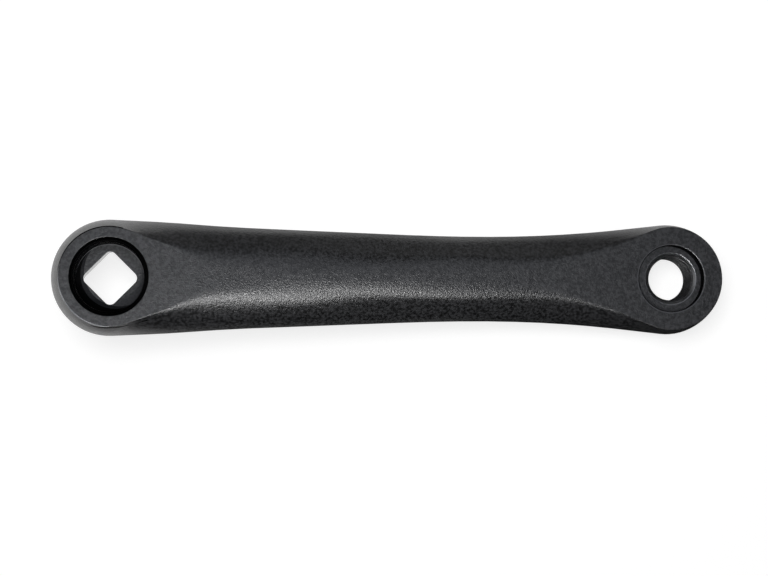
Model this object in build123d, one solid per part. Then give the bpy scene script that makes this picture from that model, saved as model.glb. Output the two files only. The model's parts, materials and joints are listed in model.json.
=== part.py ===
import math
import os
from collections import namedtuple

from build123d import *

# Left crank arm of a bicycle, forged in one piece for a square taper spindle, in millimetres.
# The origin is on the spindle axis at the inboard face, +X runs along the arm, +Z points outboard.

# Levels, with the depth of the front down to the parting line
crank_length = 170.0
front_height = 28.5
front_depth = 8.0
forged_back_height = 1.0
eye_thickness = 13.75

# Boss, widest at the parting line and tapering to its front face
boss_radius = 17.5
boss_face_radius = 15.0
inboard_pad_radius = 14.5
inboard_pad_chamfer = 0.6

# Pedal eye
eye_radius = 16.85
eye_face_radius = 15.7

# Sections across the arm: place, half width at the parting line, half width of the flat front, width of the
# crown from there to the ridge, its fall on the way there, and the depth over which the ridge is blended
neck_from_boss = 18.0
neck_half_width = 16.7
neck_flat = 9.2
neck_crown = 1.4
neck_drop = 0.2
neck_blend = 1.2
shoulder_from_boss = 31.0
shoulder_half_width = 15.8
shoulder_flat = 3.2
shoulder_crown = 5.8
shoulder_drop = 0.45
shoulder_blend = 3.1
middle_from_boss = 58.0
middle_half_width = 14.6
middle_flat = 1.0
middle_crown = 8.5
middle_drop = 1.85
middle_blend = 1.3
taper_from_boss = 81.0
taper_half_width = 13.7
taper_flat = 1.0
taper_crown = 5.4
taper_drop = 1.05
taper_blend = 0.45
waist_from_eye = 65.0
waist_half_width = 13.0
waist_flat = 1.2
waist_crown = 5.15
waist_drop = 0.65
waist_blend = 0.5
flare_from_eye = 34.0
flare_half_width = 13.65
flare_flat = 4.4
flare_crown = 2.6
flare_drop = 0.4
flare_blend = 0.75
cheek_from_eye = 20.0
cheek_half_width = 14.75
cheek_flat = 8.8
cheek_crown = 1.1
cheek_drop = 0.3
cheek_blend = 0.4

# Forged sides: their curve above the parting line, their draft below it and the bevel at the edge of the back
flank_straightness = 0.75
flank_power = 4.0
back_draft = 4.0
back_bevel = 2.2

# Back of the arm in side view
back_rise_from_boss = 6.0
back_level_from_boss = 64.0
back_level_height = 12.6
back_flat_from_eye = 24.0

# Spindle end: extractor thread, bolt seat and square taper
extractor_radius = 11.0
extractor_depth = 10.5
extractor_mouth_radius = 11.8
seat_corner = 0.5
square_across_flats = 12.5
square_corner_radius = 2.0
square_taper = 2.0
square_turn = 45.0
square_mouth_chamfer = 0.5

# Pedal end: thread, spot face and lead-in chamfers
pedal_thread_radius = 7.144
spot_face_radius = 10.1
spot_face_depth = 1.6
pedal_lead_in = 0.7
edge_break = 0.25

# Spare length that takes cutters past a face
overshoot = 5.0

# Faces whose normals dip below this belong to the back
back_facing = -0.5

# Points that draw a section, and lines along the forging that join the sections
section_points = 40
front_lines = 10

Section = namedtuple("Section", "x half_width flat crown drop blend")
boss = Section(0.0, boss_radius, boss_face_radius, crown=0.0, drop=0.0, blend=0.0)
neck = Section(neck_from_boss, neck_half_width, neck_flat, neck_crown, neck_drop, neck_blend)
shoulder = Section(
    shoulder_from_boss, shoulder_half_width, shoulder_flat, shoulder_crown, shoulder_drop, shoulder_blend
)
middle = Section(middle_from_boss, middle_half_width, middle_flat, middle_crown, middle_drop, middle_blend)
taper = Section(taper_from_boss, taper_half_width, taper_flat, taper_crown, taper_drop, taper_blend)
waist = Section(
    crank_length - waist_from_eye, waist_half_width, waist_flat, waist_crown, waist_drop, waist_blend
)
flare = Section(
    crank_length - flare_from_eye, flare_half_width, flare_flat, flare_crown, flare_drop, flare_blend
)
cheek = Section(
    crank_length - cheek_from_eye, cheek_half_width, cheek_flat, cheek_crown, cheek_drop, cheek_blend
)
eye = Section(crank_length, eye_radius, eye_face_radius, crown=0.0, drop=0.0, blend=0.0)
sections = [boss, neck, shoulder, middle, taper, waist, flare, cheek, eye]

parting_height = front_height - front_depth
eye_back_height = front_height - eye_thickness
seat_height = front_height - extractor_depth
spot_face_height = front_height - spot_face_depth


def depth(section, across):
    """How far a section has fallen below the front: a crown, a blended ridge and a steepening flank."""
    ridge = section.flat + section.crown
    out = (across - ridge) / (section.half_width - ridge)
    steepening = (1 - flank_straightness) * max(out, 0.0) ** flank_power
    flank = section.drop + (front_depth - section.drop) * (flank_straightness * out + steepening)
    if section.crown == 0:
        return flank
    rounding = (across - section.flat) / section.crown
    crown = section.drop * (rounding**2 if rounding < 1 else 2 * rounding - 1)
    overlap = max(section.blend - abs(crown - flank), 0.0)
    return max(crown, flank) + overlap**2 / (4 * section.blend)


def half_section(section):
    """Half of a section across the arm, from the edge of its flat front out to the parting line."""
    steps = [i / section_points for i in range(1, section_points)]
    widths = [section.flat + (section.half_width - section.flat) * step for step in steps]
    slope = [(width, front_height - depth(section, width)) for width in widths]
    return Spline((section.flat, front_height), *slope, (section.half_width, parting_height))


def tangent_point(axis_x, radius, point, turn):
    """Where the tangent from a point touches a circle about an axis, on the side turn (1 or -1) gives."""
    away = Vector(point.X - axis_x, point.Y)
    angle = math.atan2(away.Y, away.X) + turn * math.acos(radius / away.length)
    return axis_x + radius * math.cos(angle), radius * math.sin(angle)


def forging_line(halves, share, below=0.0):
    """A closed line round the forging, a share of the way down its front or below its parting line."""
    inset = below * math.tan(math.radians(back_draft))
    places = [half @ share for half in halves]
    points = [Vector(s.x, place.X - inset, place.Y - below) for s, place in zip(sections, places)]
    boss_side, *side, eye_side = points
    leave = Vector(*tangent_point(boss.x, boss_side.Y, side[0], 1), boss_side.Z)
    arrive = Vector(*tangent_point(eye.x, eye_side.Y, side[-1], -1), eye_side.Z)
    ends = [Vector(b.X - a.X, b.Y - a.Y) for a, b in ((leave, side[0]), (side[-1], arrive))]
    along = Spline(leave, *side, arrive, tangents=ends)
    eye_end = ThreePointArc(arrive, (eye.x + eye_side.Y, 0, arrive.Z), (arrive.X, -arrive.Y, arrive.Z))
    back_along = Spline(
        *[(p.X, -p.Y, p.Z) for p in (arrive, *reversed(side), leave)],
        tangents=[(-end.X, end.Y) for end in reversed(ends)],
    )
    boss_end = ThreePointArc((leave.X, -leave.Y, leave.Z), (-boss_side.Y, 0, leave.Z), leave)
    return Wire([curve.edge() for curve in (along, eye_end, back_along, boss_end)])


def forging():
    """The arm before machining: a contoured front, drafted sides and a back that sweeps up to the eye."""
    halves = [half_section(section) for section in sections]
    shares = [(1 + math.cos(math.pi * i / front_lines)) / 2 for i in range(front_lines + 1)]
    front = Solid.make_loft([forging_line(halves, share) for share in shares])
    below_parting = [forging_line(halves, 1, below) for below in (0, parting_height + overshoot)]
    sides = Solid.make_loft(below_parting, ruled=True)
    return front + sides - under_side()


def under_side():
    """Everything below the back of the arm, drawn in side view and extruded across."""
    rise_start = (back_rise_from_boss, forged_back_height)
    level = (back_level_from_boss, back_level_height)
    flat_start = (crank_length - back_flat_from_eye, eye_back_height)
    flat_end = (crank_length + 2 * eye_radius, eye_back_height)
    boss_side = (-2 * boss_radius, forged_back_height)
    low = -2 * overshoot
    side_view = Curve() + [
        Line(boss_side, rise_start),
        Spline(rise_start, level, flat_start, tangents=[(1, 0), (1, 0)]),
        Line(flat_start, flat_end),
        Polyline(flat_end, (flat_end[0], low), (boss_side[0], low), boss_side),
    ]
    return extrude(Plane.XZ * make_face(side_view), amount=2 * boss_radius, both=True)


def back_edges(arm):
    """The edges where the back of the forging meets its sides."""
    back_faces = arm.faces().filter_by(lambda face: face.normal_at().Z < back_facing)
    return back_faces.edges().filter_by(Axis.Y, reverse=True)


def inboard_pad():
    """The turned face of the boss that stands proud of the forged back."""
    pad = Cylinder(inboard_pad_radius, parting_height, align=(Align.CENTER, Align.CENTER, Align.MIN))
    return chamfer(pad.edges().sort_by(Axis.Z)[0], inboard_pad_chamfer)


def turned(axis_x, profile):
    """A cutter turned round a vertical axis from a profile of (radius, height) points."""
    top = profile[-1][1]
    bottom = profile[0][1]
    outline = Polyline((0, bottom), *profile, (0, top), close=True)
    return Pos(axis_x, 0, 0) * revolve(Plane.XZ * make_face(outline), Axis.Z)


def extractor_bore():
    """The threaded bore for the extractor, with the bolt seat as its floor."""
    mouth_chamfer = extractor_mouth_radius - extractor_radius
    return turned(boss.x, [
        (extractor_radius - seat_corner, seat_height),
        (extractor_radius, seat_height + seat_corner),
        (extractor_radius, front_height - mouth_chamfer),
        (extractor_mouth_radius, front_height),
        (extractor_mouth_radius, front_height + overshoot),
    ])


def square(height, extra=0.0):
    """The tapered square at a height, with its corners on the X and Y axes."""
    across = square_across_flats + 2 * (seat_height - height) * math.tan(math.radians(square_taper))
    side = across + 2 * extra
    return Pos(0, 0, height) * RectangleRounded(side, side, square_corner_radius, square_turn)


def square_socket():
    """The square taper through the boss, widening inboard to a chamfered mouth."""
    through = loft([square(seat_height + overshoot), square(-overshoot)], ruled=True)
    mouth = loft([
        square(square_mouth_chamfer),
        square(-overshoot, extra=square_mouth_chamfer + overshoot),
    ], ruled=True)
    return through + mouth


def pedal_hole():
    """The pedal thread with its spot face and a lead-in at each end."""
    lead_in_radius = pedal_thread_radius + pedal_lead_in
    return turned(eye.x, [
        (lead_in_radius, eye_back_height - overshoot),
        (lead_in_radius, eye_back_height),
        (pedal_thread_radius, eye_back_height + pedal_lead_in),
        (pedal_thread_radius, spot_face_height - pedal_lead_in),
        (lead_in_radius, spot_face_height),
        (spot_face_radius, spot_face_height),
        (spot_face_radius, front_height - edge_break),
        (spot_face_radius + edge_break, front_height),
        (spot_face_radius + edge_break, front_height + overshoot),
    ])


def crank_arm():
    """The finished arm: the forging with its turned pad, bores and square."""
    arm = forging()
    arm = chamfer(back_edges(arm), back_bevel)
    arm += inboard_pad()
    return arm - extractor_bore() - square_socket() - pedal_hole()


os.makedirs("parts", exist_ok=True)
export_step(crank_arm(), "parts/crank_arm.step")
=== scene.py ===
import json
import math

import bmesh
import bpy
from mathutils import Matrix, Vector


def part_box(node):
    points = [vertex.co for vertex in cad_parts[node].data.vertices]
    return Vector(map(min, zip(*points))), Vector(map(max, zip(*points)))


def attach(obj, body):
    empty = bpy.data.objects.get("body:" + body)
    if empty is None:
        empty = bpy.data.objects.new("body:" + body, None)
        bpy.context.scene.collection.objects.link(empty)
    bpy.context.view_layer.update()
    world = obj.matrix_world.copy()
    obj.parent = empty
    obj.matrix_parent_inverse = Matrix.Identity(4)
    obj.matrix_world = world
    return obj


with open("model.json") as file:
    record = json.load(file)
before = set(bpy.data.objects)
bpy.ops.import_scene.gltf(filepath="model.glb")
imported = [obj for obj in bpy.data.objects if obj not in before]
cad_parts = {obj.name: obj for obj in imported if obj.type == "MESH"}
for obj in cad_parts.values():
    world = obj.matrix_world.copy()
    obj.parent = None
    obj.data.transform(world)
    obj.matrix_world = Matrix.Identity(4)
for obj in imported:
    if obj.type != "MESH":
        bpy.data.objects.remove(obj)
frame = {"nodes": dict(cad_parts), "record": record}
bpy.context.view_layer.update()
scene = bpy.context.scene
arm = frame["nodes"]["crank_arm"]
mounts = {mount["name"]: mount for mount in frame["record"]["mounts"]}
mm = 0.001


# node helpers: each value is a plain one or another node's output

def feed(tree, socket, value):
    if isinstance(value, bpy.types.NodeSocket):
        tree.links.new(value, socket)
    else:
        socket.default_value = value


def mathNode(tree, operation, *values):
    node = tree.nodes.new("ShaderNodeMath")
    node.operation = operation
    for socket, value in zip(node.inputs, values):
        feed(tree, socket, value)
    return node.outputs[0]


def rangeNode(tree, value, start=(0, 1), end=(0, 1), kind="LINEAR"):
    node = tree.nodes.new("ShaderNodeMapRange")
    node.interpolation_type = kind
    names = ("Value", "From Min", "From Max", "To Min", "To Max")
    for name, limit in zip(names, (value, *start, *end)):
        feed(tree, node.inputs[name], limit)
    return node.outputs["Result"]


def mixNode(tree, dataType, factor, before, after):
    node = tree.nodes.new("ShaderNodeMix")
    node.data_type = dataType
    for name, value in (("Factor", factor), ("A", before), ("B", after)):
        feed(tree, node.inputs[name], value)
    return node.outputs["Result"]


def mixShaders(tree, factor, before, after):
    node = tree.nodes.new("ShaderNodeMixShader")
    for socket, value in zip(node.inputs, (factor, before, after)):
        feed(tree, socket, value)
    return node.outputs[0]


def objectPlace(tree):
    return tree.nodes.new("ShaderNodeTexCoord").outputs["Object"]


def splitAxes(tree, vector):
    node = tree.nodes.new("ShaderNodeSeparateXYZ")
    feed(tree, node.inputs[0], vector)
    return node.outputs


def floats(*names):
    return dict.fromkeys(names, "NodeSocketFloat")


def newGroup(name, inputs, outputs):
    group = bpy.data.node_groups.new(name, "ShaderNodeTree")
    for socket, kind in inputs.items():
        group.interface.new_socket(socket, in_out="INPUT", socket_type=kind)
    for socket, kind in outputs.items():
        group.interface.new_socket(socket, in_out="OUTPUT", socket_type=kind)
    return group, group.nodes.new("NodeGroupInput").outputs, group.nodes.new("NodeGroupOutput").inputs


# sandy black coat, shared by the arm and its threads; the coat zones further on lay painted shade and
# painted highlights over it

coat = {
    "dark": (0.004, 0.0041, 0.0045, 1),
    "light": (0.034, 0.0345, 0.0368, 1),
    "roughness": (0.29, 0.39),
    "specular": 0.75,
    "grainSize": 0.50 * mm,
    "grainDetail": 2.0,
    "grainRoughness": 0.6,
    "pitDepth": 0.35,  # share of a lump's height
    "bumpDepth": 0.09 * mm,
    "fleckSize": 0.85 * mm,
    "fleckDetail": 1.0,
    "fleckRange": (0.36, 0.64),
    "edgeRadius": 0.45 * mm,
    "edgeSamples": 6,
}


def grainTexture(tree, kind, size):
    node = tree.nodes.new(kind)
    feed(tree, node.inputs["Vector"], objectPlace(tree))
    feed(tree, node.inputs["Scale"], mathNode(tree, "DIVIDE", 1.0, size))
    return node


def sandyGrain():
    group, inputs, outputs = newGroup(
        "sandyGrain", floats("Grain Size", "Fleck Size"), floats("Height", "Speckle"))
    lumps = grainTexture(group, "ShaderNodeTexNoise", inputs["Grain Size"])
    lumps.inputs["Detail"].default_value = coat["grainDetail"]
    lumps.inputs["Roughness"].default_value = coat["grainRoughness"]
    pits = grainTexture(group, "ShaderNodeTexVoronoi", inputs["Grain Size"])
    height = mathNode(
        group, "MULTIPLY_ADD", pits.outputs["Distance"], -coat["pitDepth"], lumps.outputs["Fac"])
    flecks = grainTexture(group, "ShaderNodeTexNoise", inputs["Fleck Size"])
    flecks.inputs["Detail"].default_value = coat["fleckDetail"]
    feed(group, outputs["Height"], height)
    feed(group, outputs["Speckle"], rangeNode(group, flecks.outputs["Fac"], coat["fleckRange"]))
    return group


# the spindle square's smoother machined wall, and painted shade and painted highlights at the bores and
# edges: rings about a mount's axis, in a band of height, each with its own tone
# a shift of the axis leaves only one side of a ring, and reach ends it along the arm

boltSeat = mounts["bolt_seat"]["pos_m"][2]
spotFace = mounts["pedal_seat"]["pos_m"][2]
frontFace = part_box("crank_arm")[1].z
boreRadius = mounts["extractor_thread"]["dims"]["r_mm"] * mm
holeRadius = mounts["pedal_thread"]["dims"]["r_mm"] * mm
bossEdge = 15.0 * mm  # radius of the boss's front face
spotEdge = 10.1 * mm  # radius of the spot face

# tones for the zones: smooth is a real machined finish, the others are painted shade and painted highlights
finishesAndPaintedLight = {
    "smooth": {"tone": (0.030, 0.0306, 0.0335, 1), "roughness": 0.12, "metallic": 0.0},
    # painted highlight, faint, for the light line on the bolt seat's rim
    "paintedHighlightFaint": {"tone": (0.080, 0.081, 0.085, 1), "roughness": 0.4, "metallic": 0.0},
    # painted shade, near black, for the threaded bore, the bolt seat, the edge lines and the spot face
    "paintedShadeBlack": {"tone": (0.004, 0.004, 0.0042, 1), "roughness": 0.5, "metallic": 1.0},
    # painted shadow, half dark, for the bolt seat's shaded side
    "paintedShadeHalf": {"tone": (0.024, 0.0244, 0.026, 1), "roughness": 0.45, "metallic": 1.0},
    # painted highlight, dim, for the spot face's lit edge
    "paintedHighlightDim": {"tone": (0.16, 0.162, 0.168, 1), "roughness": 0.35, "metallic": 1.0},
    # painted highlight, a light metal tone, for the pedal hole's lip
    "paintedHighlightMetal": {"tone": (0.26, 0.264, 0.272, 1), "roughness": 0.3, "metallic": 1.0},
    # painted highlight, bright, for the boss's lit edge
    "paintedHighlightBright": {"tone": (0.34, 0.345, 0.355, 1), "roughness": 0.35, "metallic": 1.0},
}
finishAndPaintedLightZones = {
    "spindleSquare": {
        "mount": "spindle_socket", "surfaceLook": "smooth",
        "radius": (0, 9.3 * mm), "height": (-1 * mm, boltSeat - 0.05 * mm),
    },
    # painted shadow: a half-dark crescent on the bolt seat's lower left, where the bore's wall shades it
    "seatPaintedShadowHalf": {
        "mount": "spindle_socket", "surfaceLook": "paintedShadeHalf", "shift": (2.7 * mm, 2.0 * mm),
        "radius": (boreRadius - 0.5 * mm, bossEdge), "height": (boltSeat - 0.04 * mm, boltSeat + 0.05 * mm),
    },
    # painted shadow: a black, narrower crescent on the same side of the bolt seat
    "seatPaintedShadow": {
        "mount": "spindle_socket", "surfaceLook": "paintedShadeBlack", "shift": (1.6 * mm, 1.2 * mm),
        "radius": (boreRadius - 0.5 * mm, bossEdge), "height": (boltSeat - 0.04 * mm, boltSeat + 0.05 * mm),
    },
    # painted highlight: a faint light line on the upper right of the bolt seat's rim
    "seatRimPaintedHighlight": {
        "mount": "spindle_socket", "surfaceLook": "paintedHighlightFaint", "shift": (-0.12 * mm, -0.12 * mm),
        "radius": (boreRadius - 0.78 * mm, boreRadius - 0.48 * mm),
        "height": (boltSeat - 0.1 * mm, boltSeat + 0.4 * mm),
    },
    # painted shade: the threaded bore's chamfer, wall and threads made near black all round, for the deep
    # shade in the bore
    "threadedBorePaintedShade": {
        "mount": "extractor_thread", "surfaceLook": "paintedShadeBlack",
        "radius": (boreRadius - 0.65 * mm, boreRadius + 0.79 * mm),
        "height": (boltSeat - 0.1 * mm, frontFace + 0.5 * mm),
    },
    # painted highlight: a bright line along the boss's front edge at the lower left
    "bossEdgePaintedHighlight": {
        "mount": "spindle_socket", "surfaceLook": "paintedHighlightBright", "shift": (0.32 * mm, 0.28 * mm), "reach": 0,
        "radius": (bossEdge + 0.15 * mm, bossEdge + 0.6 * mm),
        "height": (frontFace - 0.3 * mm, frontFace + 0.5 * mm),
    },
    # painted shade: a dark line along the boss's front edge on its upper side
    "bossEdgePaintedShade": {
        "mount": "spindle_socket", "surfaceLook": "paintedShadeBlack", "shift": (0.15 * mm, -0.45 * mm), "reach": 4 * mm,
        "radius": (bossEdge + 0.2 * mm, bossEdge + 0.6 * mm),
        "height": (frontFace - 0.5 * mm, frontFace + 0.5 * mm),
    },
    # painted shade: a dark line along the front edge from the boss towards the neck
    "neckEdgePaintedShade": {
        "mount": "spindle_socket", "surfaceLook": "paintedShadeBlack", "shift": (0, bossEdge), "reach": 11.5 * mm,
        "radius": (2 * bossEdge - 0.05 * mm, 2 * bossEdge + 0.4 * mm),
        "height": (frontFace - 1.3 * mm, frontFace + 0.5 * mm),
    },
    # painted highlight: the pedal hole's lip in a light metal tone all round
    "pedalLipPaintedHighlight": {
        "mount": "pedal_thread", "surfaceLook": "paintedHighlightMetal",
        "radius": (holeRadius - 0.04 * mm, holeRadius + 0.86 * mm),
        "height": (spotFace - 0.8 * mm, spotFace + 0.1 * mm),
    },
    # painted shade: the spot face's wall made near black all round
    "spotFaceWallPaintedShade": {
        "mount": "pedal_thread", "surfaceLook": "paintedShadeBlack",
        "radius": (spotEdge - 0.15 * mm, spotEdge + 0.15 * mm),
        "height": (spotFace + 0.05 * mm, frontFace - 0.15 * mm),
    },
    # painted shadow: a dark crescent in the spot face's corner on its right side
    "spotFaceCornerPaintedShadow": {
        "mount": "pedal_thread", "surfaceLook": "paintedShadeBlack", "shift": (-0.72 * mm, -0.30 * mm),
        "radius": (spotEdge + 0.05 * mm, spotEdge + 1.1 * mm),
        "height": (spotFace - 0.1 * mm, frontFace - 0.25 * mm),
    },
    # painted highlight: a light ring at the spot face's outer edge, shifted to lie on its edge chamfer at
    # the right
    "spotFaceEdgePaintedHighlight": {
        "mount": "pedal_thread", "surfaceLook": "paintedHighlightDim", "shift": (-0.11 * mm, -0.05 * mm),
        "radius": (spotEdge + 0.1 * mm, spotEdge + 0.45 * mm),
        "height": (frontFace - 0.23 * mm, frontFace + 0.1 * mm),
    },
}


def turnedZone():
    limits = floats("Inner", "Outer", "Low", "High", "Reach")
    group, inputs, outputs = newGroup("turnedZone", {"Axis": "NodeSocketVector", **limits}, floats("Mask"))
    centred = group.nodes.new("ShaderNodeVectorMath")
    centred.operation = "SUBTRACT"
    feed(group, centred.inputs[0], objectPlace(group))
    feed(group, centred.inputs[1], inputs["Axis"])
    axes = splitAxes(group, centred.outputs[0])
    across = group.nodes.new("ShaderNodeCombineXYZ")
    feed(group, across.inputs["X"], axes["X"])
    feed(group, across.inputs["Y"], axes["Y"])
    radius = group.nodes.new("ShaderNodeVectorMath")
    radius.operation = "LENGTH"
    feed(group, radius.inputs[0], across.outputs[0])
    mask = mathNode(group, "GREATER_THAN", radius.outputs["Value"], inputs["Inner"])
    for operation, value, limit in [
        ("LESS_THAN", radius.outputs["Value"], "Outer"),
        ("GREATER_THAN", axes["Z"], "Low"),
        ("LESS_THAN", axes["Z"], "High"),
        ("LESS_THAN", axes["X"], "Reach"),
    ]:
        mask = mathNode(group, "MULTIPLY", mask, mathNode(group, operation, value, inputs[limit]))
    feed(group, outputs["Mask"], mask)
    return group


def zoneMask(tree, zoneGroup, zone):
    x, y, z = mounts[zone["mount"]]["pos_m"]
    shiftX, shiftY = zone.get("shift", (0, 0))
    place = tree.nodes.new("ShaderNodeGroup")
    place.node_tree = zoneGroup
    place.inputs["Axis"].default_value = (x + shiftX, y + shiftY, 0)
    place.inputs["Inner"].default_value, place.inputs["Outer"].default_value = zone["radius"]
    place.inputs["Low"].default_value, place.inputs["High"].default_value = zone["height"]
    place.inputs["Reach"].default_value = zone.get("reach", 1.0)  # a metre is past the arm
    return place.outputs["Mask"]


def blackCoat(name):
    material = bpy.data.materials.new(name)
    material.use_nodes = True
    tree = material.node_tree
    shader = tree.nodes["Principled BSDF"]
    shader.inputs["Specular IOR Level"].default_value = coat["specular"]
    grain = tree.nodes.new("ShaderNodeGroup")
    grain.node_tree = sandyGrain()
    grain.inputs["Grain Size"].default_value = coat["grainSize"]
    grain.inputs["Fleck Size"].default_value = coat["fleckSize"]
    speckle = grain.outputs["Speckle"]
    colour = mixNode(tree, "RGBA", speckle, coat["dark"], coat["light"])
    roughness = rangeNode(tree, speckle, end=coat["roughness"])
    metallic = 0.0
    zoneGroup = turnedZone()
    # each zone lays its tone over the coat: the spindle square's smoother wall, and painted shade and
    # painted highlights
    for zone in finishAndPaintedLightZones.values():
        mask = zoneMask(tree, zoneGroup, zone)
        surfaceLook = finishesAndPaintedLight[zone["surfaceLook"]]
        colour = mixNode(tree, "RGBA", mask, colour, surfaceLook["tone"])
        roughness = mixNode(tree, "FLOAT", mask, roughness, surfaceLook["roughness"])
        metallic = mixNode(tree, "FLOAT", mask, metallic, surfaceLook["metallic"])
    feed(tree, shader.inputs["Base Color"], colour)
    feed(tree, shader.inputs["Roughness"], roughness)
    feed(tree, shader.inputs["Metallic"], metallic)
    softEdge = tree.nodes.new("ShaderNodeBevel")
    softEdge.samples = coat["edgeSamples"]
    softEdge.inputs["Radius"].default_value = coat["edgeRadius"]
    bump = tree.nodes.new("ShaderNodeBump")
    bump.inputs["Distance"].default_value = coat["bumpDepth"]
    feed(tree, bump.inputs["Height"], grain.outputs["Height"])
    feed(tree, bump.inputs["Normal"], softEdge.outputs["Normal"])
    feed(tree, shader.inputs["Normal"], bump.outputs["Normal"])
    return material


armCoat = blackCoat("armCoat")
arm.material_slots[0].material = armCoat
print("coat done")


# threads: a ridge wound up each bore and cut back to the chamfers at its ends

threadSettings = {
    "extractor_thread": {"piece": "extractorThread", "pitch": 1.0 * mm, "hand": 1},
    "pedal_thread": {"piece": "pedalThread", "pitch": 25.4 * mm / 20, "hand": -1},
}
threadForm = {
    "root": 7 / 8,  # root, crest and depth are shares of the pitch
    "crest": 1 / 4,
    "depth": 0.5413,
    "flankDeg": 30,
    "bed": 0.05 * mm,  # how far the ridge is sunk into the bore's wall
    "stepsPerTurn": 72,
    "sharpDeg": 35,
}


def cutThread(mountName):
    settings, mount = threadSettings[mountName], mounts[mountName]
    x, y, z = mount["pos_m"]
    wall, length = mount["dims"]["r_mm"] * mm, mount["dims"]["length_mm"] * mm
    low, high = z - length / 2, z + length / 2
    pitch, bed = settings["pitch"], threadForm["bed"]
    turns = length / pitch
    steps = round(turns * threadForm["stepsPerTurn"])
    rootHalf = pitch * threadForm["root"] / 2 + bed * math.tan(math.radians(threadForm["flankDeg"]))
    crestHalf = pitch * threadForm["crest"] / 2
    crest = wall - pitch * threadForm["depth"]
    ridge = [(wall + bed, -rootHalf), (crest, -crestHalf), (crest, crestHalf), (wall + bed, rootHalf)]
    bm = bmesh.new()
    start = bm.faces.new([bm.verts.new((x + radius, y, low + up)) for radius, up in ridge])
    wound = bmesh.ops.spin(
        bm, geom=list(start.verts) + list(start.edges), cent=(x, y, 0), axis=(0, 0, 1),
        dvec=(0, 0, turns * pitch / steps), angle=settings["hand"] * turns * 2 * math.pi, steps=steps)
    lastEdges = [part for part in wound["geom_last"] if isinstance(part, bmesh.types.BMEdge)]
    bmesh.ops.contextual_create(bm, geom=lastEdges)
    # a cone at each end cuts the ridge back to the wall, and sinks what is past the end
    for vert in bm.verts:
        out = Vector((vert.co.x - x, vert.co.y - y))
        past = max(vert.co.z - high, low - vert.co.z)
        chamfer = wall + past + (bed if past > 0 else 0)
        if chamfer > out.length:
            out *= chamfer / out.length
            vert.co.xy = (x + out.x, y + out.y)
    bmesh.ops.recalc_face_normals(bm, faces=bm.faces)
    mesh = bpy.data.meshes.new(settings["piece"])
    bm.to_mesh(mesh)
    bm.free()
    mesh.shade_smooth()
    mesh.set_sharp_from_angle(angle=math.radians(threadForm["sharpDeg"]))
    piece = bpy.data.objects.new(settings["piece"], mesh)
    scene.collection.objects.link(piece)
    mesh.materials.append(armCoat)
    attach(piece, "root")
    return piece


threads = [cutThread(mountName) for mountName in threadSettings]
print("threads done")


# floor: white paper under the edge of the inboard pad and the back of the pedal eye
# the camera sees paper all over, the gloss of the arm sees a strip of it and dark floor beyond

floorSettings = {
    "halfSize": 1.5,
    "touch": 0.01 * mm,  # points this near to the lowest one are on the pad
    "paperGlow": 0.81,  # what the camera sees: a glow, and a tone under the lamp that the arm shades
    "shadowTone": 0.30,
    "bounceTone": 0.8,
    "darkTone": 0.02,
    "sheetAbove": {"atBoss": 140 * mm, "atArm": 90 * mm, "atEye": 62 * mm, "fade": -60 * mm},
    "sheetBelow": {"atBoss": -62 * mm, "atArm": -45 * mm, "atEye": -6 * mm, "fade": 30 * mm},
    "bossToArm": (0 * mm, 60 * mm),
    "armToEye": (90 * mm, 150 * mm),
}


def sheetEdge(tree, axes, edge):
    toArm = (edge["atBoss"], edge["atArm"])
    line = rangeNode(tree, axes["X"], floorSettings["bossToArm"], toArm, "SMOOTHSTEP")
    line = rangeNode(tree, axes["X"], floorSettings["armToEye"], (line, edge["atEye"]), "SMOOTHSTEP")
    inward = mathNode(tree, "SUBTRACT", axes["Y"], line)
    return rangeNode(tree, inward, (0, edge["fade"]), kind="SMOOTHSTEP")


def plainDiffuse(tree, colour):
    node = tree.nodes.new("ShaderNodeBsdfDiffuse")
    feed(tree, node.inputs["Color"], colour)
    return node.outputs[0]


def whitePaper():
    material = bpy.data.materials.new("whitePaper")
    material.use_nodes = True
    tree = material.node_tree
    tree.nodes.clear()
    path = tree.nodes.new("ShaderNodeLightPath").outputs
    glow = tree.nodes.new("ShaderNodeEmission")
    glow.inputs["Strength"].default_value = floorSettings["paperGlow"]
    paper = tree.nodes.new("ShaderNodeAddShader")
    feed(tree, paper.inputs[0], plainDiffuse(tree, (floorSettings["shadowTone"],) * 3 + (1,)))
    feed(tree, paper.inputs[1], glow.outputs[0])
    axes = splitAxes(tree, objectPlace(tree))
    above = sheetEdge(tree, axes, floorSettings["sheetAbove"])
    below = sheetEdge(tree, axes, floorSettings["sheetBelow"])
    mirrored = mathNode(tree, "MAXIMUM", path["Is Glossy Ray"], path["Is Transmission Ray"])
    offSheet = rangeNode(tree, mirrored, end=(floorSettings["bounceTone"], floorSettings["darkTone"]))
    onSheet = mathNode(tree, "MULTIPLY", mirrored, mathNode(tree, "MULTIPLY", above, below))
    seen = mathNode(tree, "MAXIMUM", path["Is Camera Ray"], onSheet)
    topSide = mixShaders(tree, seen, plainDiffuse(tree, offSheet), paper.outputs[0])
    # from below the camera sees through it, so that the back of the arm shows
    underSide = tree.nodes.new("ShaderNodeNewGeometry").outputs["Backfacing"]
    fromBelow = mathNode(tree, "MULTIPLY", underSide, path["Is Camera Ray"])
    clear = tree.nodes.new("ShaderNodeBsdfTransparent")
    output = tree.nodes.new("ShaderNodeOutputMaterial")
    feed(tree, output.inputs["Surface"], mixShaders(tree, fromBelow, topSide, clear.outputs[0]))
    return material


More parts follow.
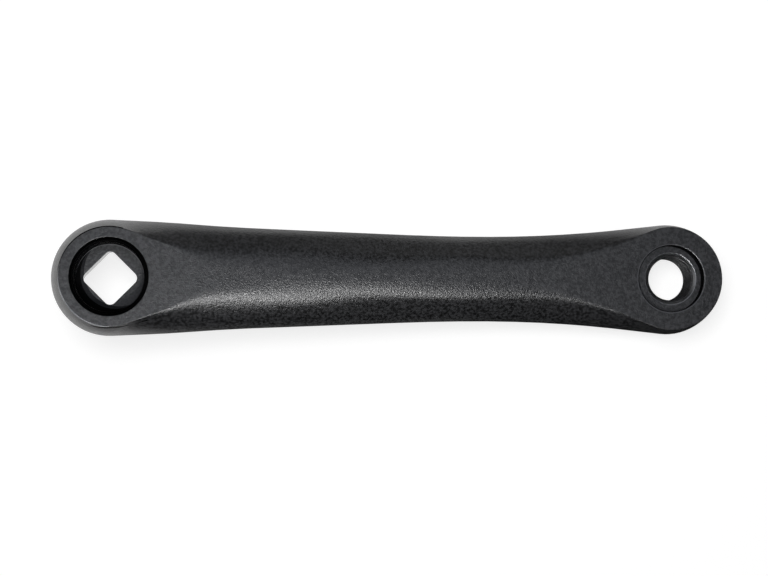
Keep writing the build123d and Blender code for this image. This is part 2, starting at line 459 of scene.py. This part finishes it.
def layFloor():
    outline = [(vert.co.x, vert.co.z) for vert in arm.data.vertices]
    padLevel = min(z for x, z in outline)
    padEdge = max(x for x, z in outline if z < padLevel + floorSettings["touch"])
    halfway = mounts["pedal_thread"]["pos_m"][0] / 2
    slope = min((z - padLevel) / (x - padEdge) for x, z in outline if x > halfway)
    bm = bmesh.new()
    bmesh.ops.create_grid(bm, x_segments=1, y_segments=1, size=floorSettings["halfSize"])
    bmesh.ops.transform(bm, matrix=Matrix.Rotation(-math.atan(slope), 4, "Y"), verts=bm.verts)
    bmesh.ops.translate(bm, vec=(padEdge, 0, padLevel), verts=bm.verts)
    mesh = bpy.data.meshes.new("floor")
    bm.to_mesh(mesh)
    bm.free()
    floor = bpy.data.objects.new("floor", mesh)
    scene.collection.objects.link(floor)
    mesh.materials.append(whitePaper())
    return floor


floor = layFloor()
print("floor done")


# studio: a small box, a wide soft one and two cards light the arm, another box lights the paper

onArm = [arm] + threads
lamps = {
    "keyBox": {
        "place": (0.036, -0.175, 0.370), "aim": (0.05, 0, 0.02), "size": (0.10, 0.10),
        "radiance": 25.0, "colour": (1, 1, 1), "lights": onArm,
    },
    "softBox": {
        "place": (0.03, 0.12, 0.68), "aim": (0.05, 0, 0.02), "size": (0.62, 0.65),
        "radiance": 0.60, "colour": (0.94, 0.98, 1.08), "lights": onArm,
    },
    "backCard": {
        "place": (0.30, 0.5, 0.16), "aim": (0.12, 0, 0.02), "size": (0.5, 0.30),
        "radiance": 0.30, "colour": (1, 1, 1), "lights": onArm,
    },
    "leftCard": {
        "place": (-0.40, 0.05, 0.11), "aim": (0, 0, 0.03), "size": (0.5, 0.18),
        "radiance": 1.0, "colour": (1, 1, 1), "lights": onArm,
    },
    "paperBox": {
        "place": (-0.09, 0.15, 0.80), "aim": (0.085, 0, 0.02), "size": (0.36, 0.36),
        "radiance": 11.5, "colour": (1, 1, 1), "lights": [floor],
    },
}
room = {"sides": 0.06, "ends": 0.30, "endFocus": 4}


def hangLamps():
    for name, lamp in lamps.items():
        data = bpy.data.lights.new(name, "AREA")
        data.shape = "RECTANGLE"
        data.color = lamp["colour"]
        data.size, data.size_y = lamp["size"]
        data.energy = lamp["radiance"] * math.pi * data.size * data.size_y
        light = bpy.data.objects.new(name, data)
        light.location = lamp["place"]
        light.rotation_mode = "QUATERNION"
        light.rotation_quaternion = (Vector(lamp["aim"]) - light.location).to_track_quat("-Z", "Y")
        scene.collection.objects.link(light)
        lit = bpy.data.collections.new(name + "Lights")
        for thing in lamp["lights"]:
            lit.objects.link(thing)
        light.light_linking.receiver_collection = lit


# a dim room, lighter towards both ends of the arm and white where the camera looks at it
def lightRoom():
    world = bpy.data.worlds.new("room")
    world.use_nodes = True
    tree = world.node_tree
    backdrop = tree.nodes["Background"]
    backdrop.inputs["Color"].default_value = (1, 1, 1, 1)
    direction = tree.nodes.new("ShaderNodeTexCoord").outputs["Generated"]
    towardsEnd = mathNode(tree, "POWER", splitAxes(tree, direction)["X"], room["endFocus"])
    level = rangeNode(tree, towardsEnd, end=(room["sides"], room["ends"]), kind="SMOOTHSTEP")
    seen = tree.nodes.new("ShaderNodeLightPath").outputs["Is Camera Ray"]
    feed(tree, backdrop.inputs["Strength"], mathNode(tree, "MAXIMUM", level, seen))
    scene.world = world


hangLamps()
lightRoom()
print("lamps done")


# camera: nearly straight above, a little to the spindle end and low side

cameraSettings = {
    "lookAt": (85 * mm, 0, 20 * mm),
    "tipDeg": -2.533,
    "swingDeg": 5.36,
    "rollDeg": 0.054,
    "offset": (-2.2 * mm, -2.794 * mm, 600.1 * mm),
    "lens": 92.307,
    "sensorWidth": 36,
    "clip": (0.01, 20),
}


def setCamera():
    data = bpy.data.cameras.new("camera")
    data.sensor_fit = "HORIZONTAL"
    data.sensor_width = cameraSettings["sensorWidth"]
    data.lens = cameraSettings["lens"]
    data.clip_start, data.clip_end = cameraSettings["clip"]
    camera = bpy.data.objects.new("camera", data)
    roll = Matrix.Rotation(math.radians(cameraSettings["rollDeg"]), 3, "Z")
    tip = Matrix.Rotation(math.radians(cameraSettings["tipDeg"]), 3, "X")
    swing = Matrix.Rotation(math.radians(cameraSettings["swingDeg"]), 3, "Y")
    turn = (roll @ tip @ swing).transposed()
    place = Vector(cameraSettings["lookAt"]) + turn @ Vector(cameraSettings["offset"])
    camera.matrix_world = Matrix.Translation(place) @ turn.to_4x4()
    scene.collection.objects.link(camera)
    scene.camera = camera


setCamera()
scene.view_settings.view_transform = "Standard"
print("camera done")

bpy.context.view_layer.update()
